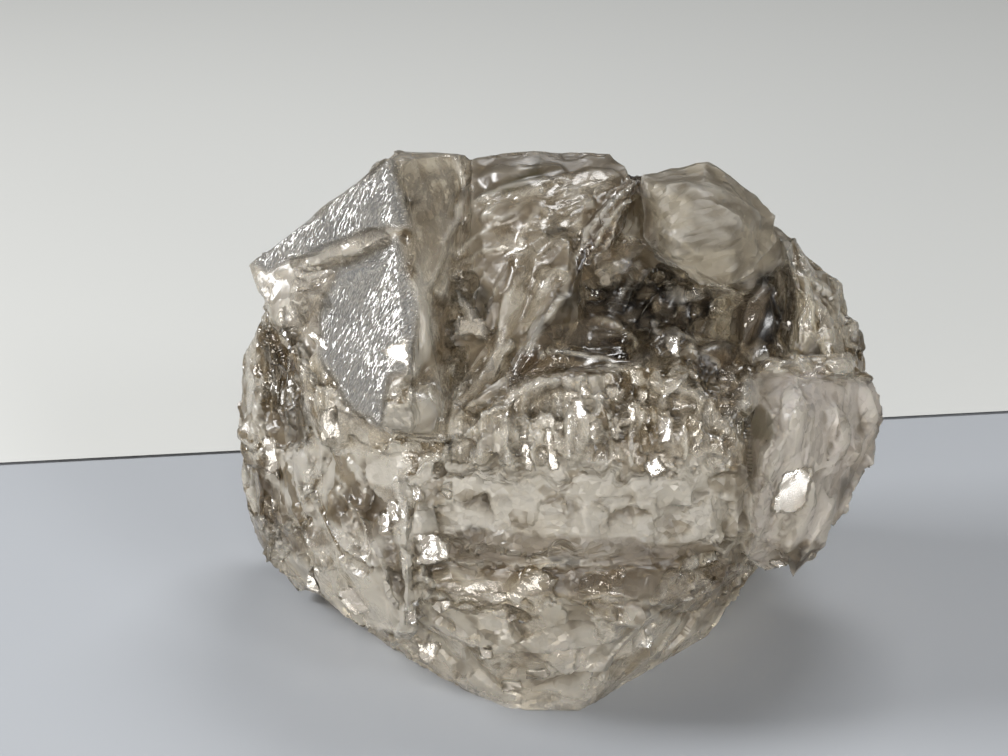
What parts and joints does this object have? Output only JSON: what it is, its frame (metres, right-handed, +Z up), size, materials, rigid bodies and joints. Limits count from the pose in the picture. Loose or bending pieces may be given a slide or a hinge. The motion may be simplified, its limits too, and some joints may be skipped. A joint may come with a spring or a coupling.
{
  "type": "elestial quartz crystal",
  "caption": "Free-standing elestial quartz crystal: smoky, see-through cluster of blocky crystals grown together, with etched, stepped faces, a deep cleft and a small flat base.",
  "frame": {"origin": "centre of the box's footprint, on the plane it stands on", "axes": "+Z up; +X to the right and -Y towards the viewer of the broad etched side; +X along the greatest width"},
  "size_m": [0.121, 0.0904, 0.092],
  "materials": {
    "smoky_quartz": "clear to milky smoky quartz, etched and frosted outside, with silvery flat faces, brown-black in the cleft"
  },
  "bodies": {
    "root": {"elestial_quartz": "smoky_quartz"}
  },
  "joints": []
}
